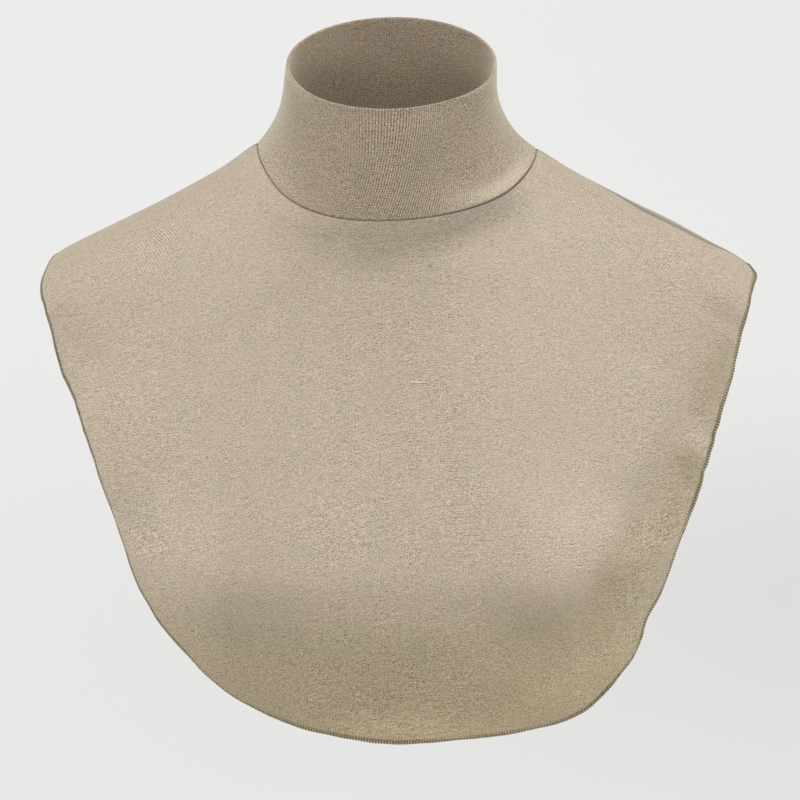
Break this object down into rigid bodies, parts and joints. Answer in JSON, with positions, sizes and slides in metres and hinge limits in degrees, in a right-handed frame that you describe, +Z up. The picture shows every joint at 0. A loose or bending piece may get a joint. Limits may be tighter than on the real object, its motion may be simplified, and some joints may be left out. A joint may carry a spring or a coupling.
{
  "type": "detachable mock-neck collar with front and back bib",
  "caption": "Slip-on jersey collar: a folded standing neck band on a rounded front bib and a shorter back bib, with an overlocked edge, shaped as worn.",
  "frame": {"origin": "midway between the two side neck points, where the neckline meets the shoulder seams, inside the neck opening", "axes": "+Z up, -Y the way the wearer faces, +X towards the wearer's left shoulder"},
  "size_m": [0.3937, 0.2159, 0.38],
  "materials": {
    "jersey": "fine single jersey, matt with a soft sheen",
    "band_jersey": "fine single jersey folded double, matt with a soft sheen",
    "edging_thread": "close overlock stitches in spun thread",
    "seam_thread": "overlock stitches over a trimmed jersey edge"
  },
  "bodies": {
    "root": {"neck_band": "band_jersey", "front_panel": "jersey", "back_panel": "jersey", "hem_edging": "edging_thread", "neck_seam": "seam_thread", "shoulder_seam_left": "seam_thread", "shoulder_seam_right": "seam_thread"}
  },
  "joints": []
}
